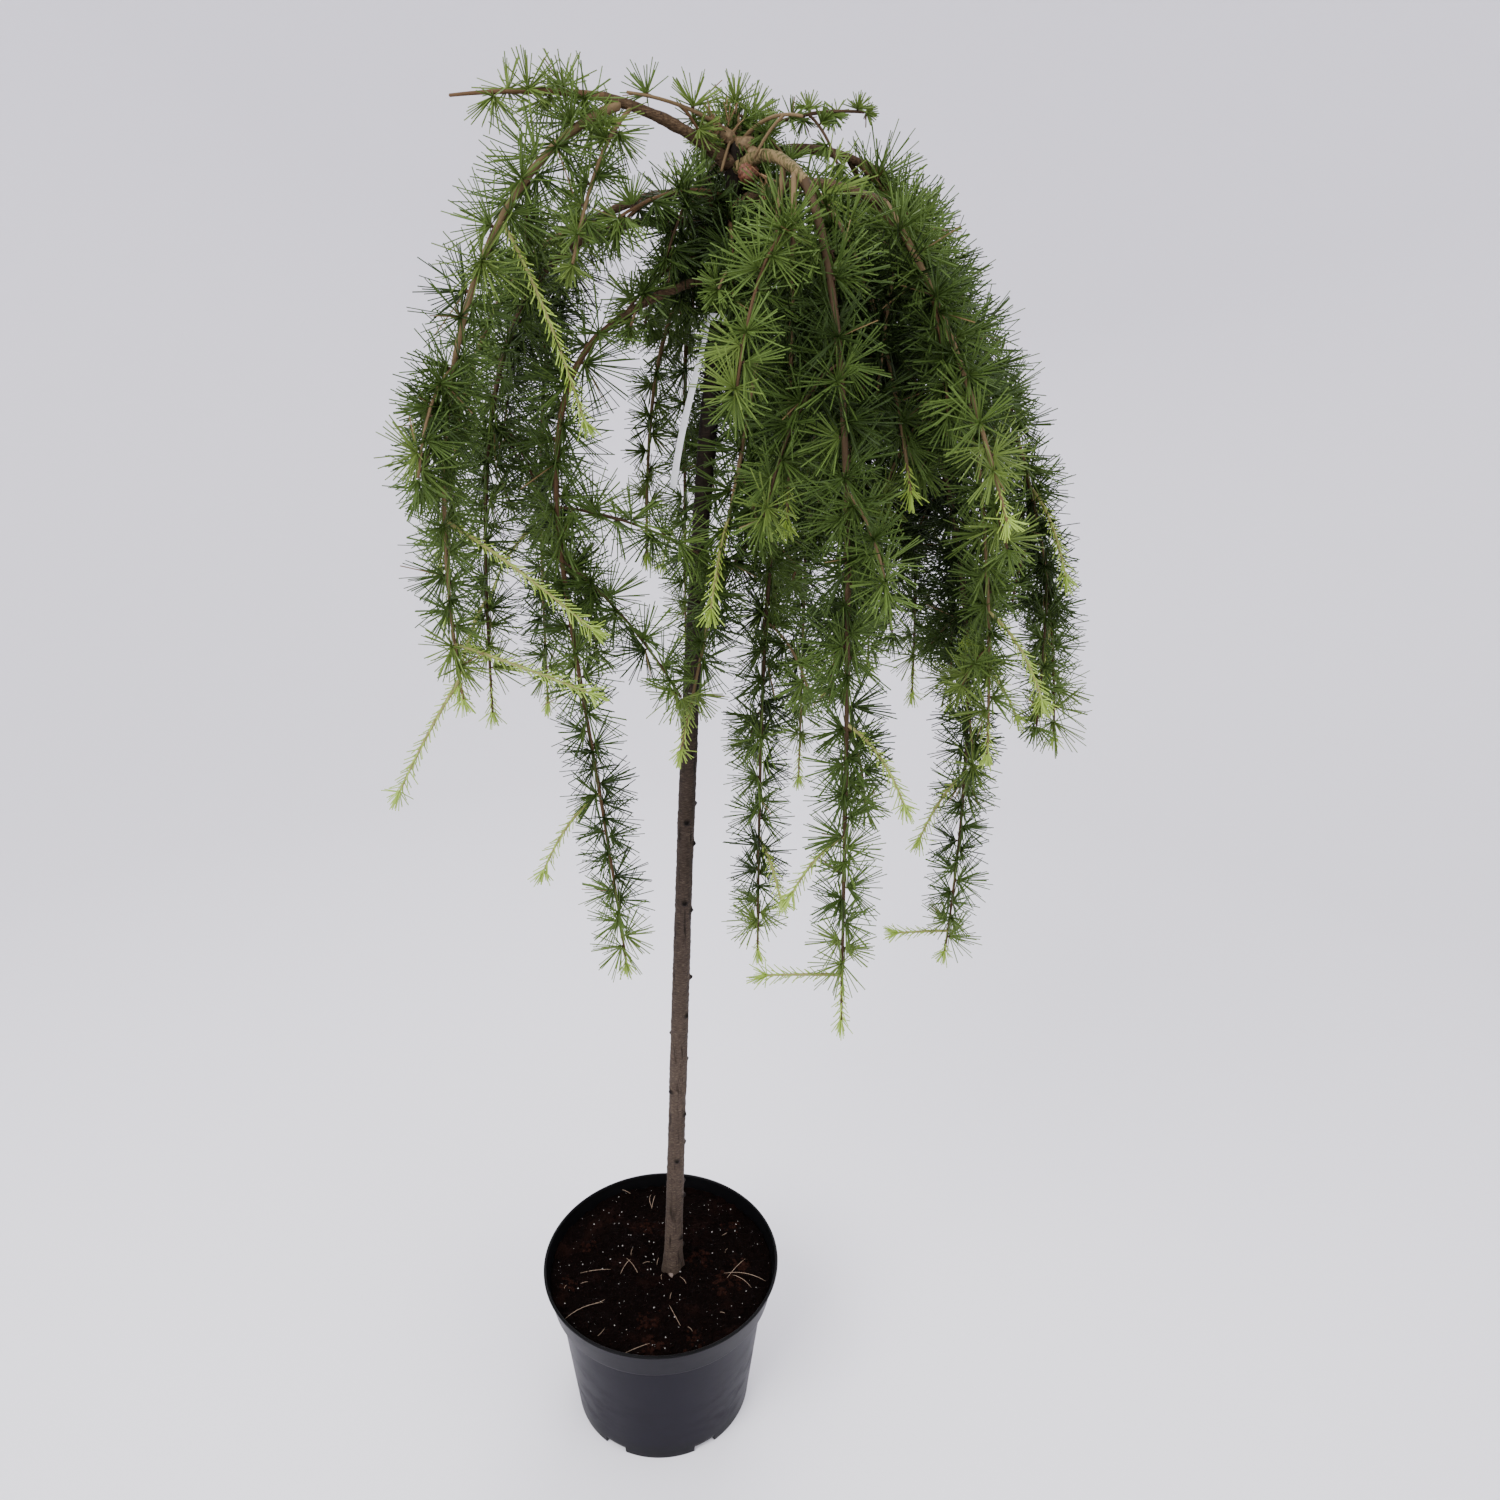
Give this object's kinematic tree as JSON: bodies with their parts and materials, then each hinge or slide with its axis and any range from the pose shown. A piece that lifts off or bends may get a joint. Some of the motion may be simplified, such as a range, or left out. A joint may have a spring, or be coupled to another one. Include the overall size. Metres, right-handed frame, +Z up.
{
  "type": "potted weeping larch",
  "caption": "Grafted weeping conifer in a round nursery pot: a slim leaning stem and a head of arching boughs that hang in long needle-covered strands.",
  "frame": {"origin": "centre of the pot's flat underside, where the plant stands", "axes": "+Z up, +X to the right of the pictured side, -Y towards the camera"},
  "size_m": [0.5448, 0.4122, 1.1963],
  "materials": {
    "pot_plastic": "satin",
    "peat": "matte",
    "bark": "rough",
    "white_plastic": "satin",
    "needles": "matte"
  },
  "bodies": {
    "root": {"pot": "pot_plastic", "soil": "peat", "trunk": "bark", "label_strip": "white_plastic", "bough_crest": "bark", "bough_left": "bark", "bough_left_front": "bark", "bough_left_back": "bark", "bough_front": "bark", "bough_right_front": "bark", "bough_right": "bark", "bough_right_low": "bark", "bough_centre_back": "bark", "bough_back": "bark", "bough_back_left": "bark", "bough_back_right": "bark", "foliage_crest_tip": "needles", "foliage_left_outer": "needles", "foliage_crest_low": "needles", "foliage_left_hang": "needles", "foliage_left_inner": "needles", "foliage_left_rear": "needles", "foliage_front_long": "needles", "foliage_front_short": "needles", "foliage_front_side": "needles", "foliage_front_inner": "needles", "foliage_right_front": "needles", "foliage_right_front_low": "needles", "foliage_right_outer": "needles", "foliage_right_middle": "needles", "foliage_right_rear": "needles", "foliage_right_long": "needles", "foliage_centre_long": "needles", "foliage_right_inner": "needles", "foliage_centre_rear": "needles", "foliage_back_hang": "needles", "foliage_back_inner": "needles", "foliage_back_outer": "needles", "foliage_back_left_outer": "needles", "foliage_back_left_hang": "needles", "foliage_back_right_outer": "needles", "foliage_back_right_hang": "needles", "foliage_crown_top": "needles", "foliage_crown_crest": "needles", "foliage_crown_right": "needles", "foliage_crown_front": "needles", "foliage_crown_back": "needles", "foliage_crown_left": "needles", "foliage_crown_left_low": "needles", "foliage_crown_front_low": "needles", "foliage_crown_right_low": "needles", "foliage_crown_back_left": "needles", "foliage_crown_back_right": "needles"}
  },
  "joints": []
}
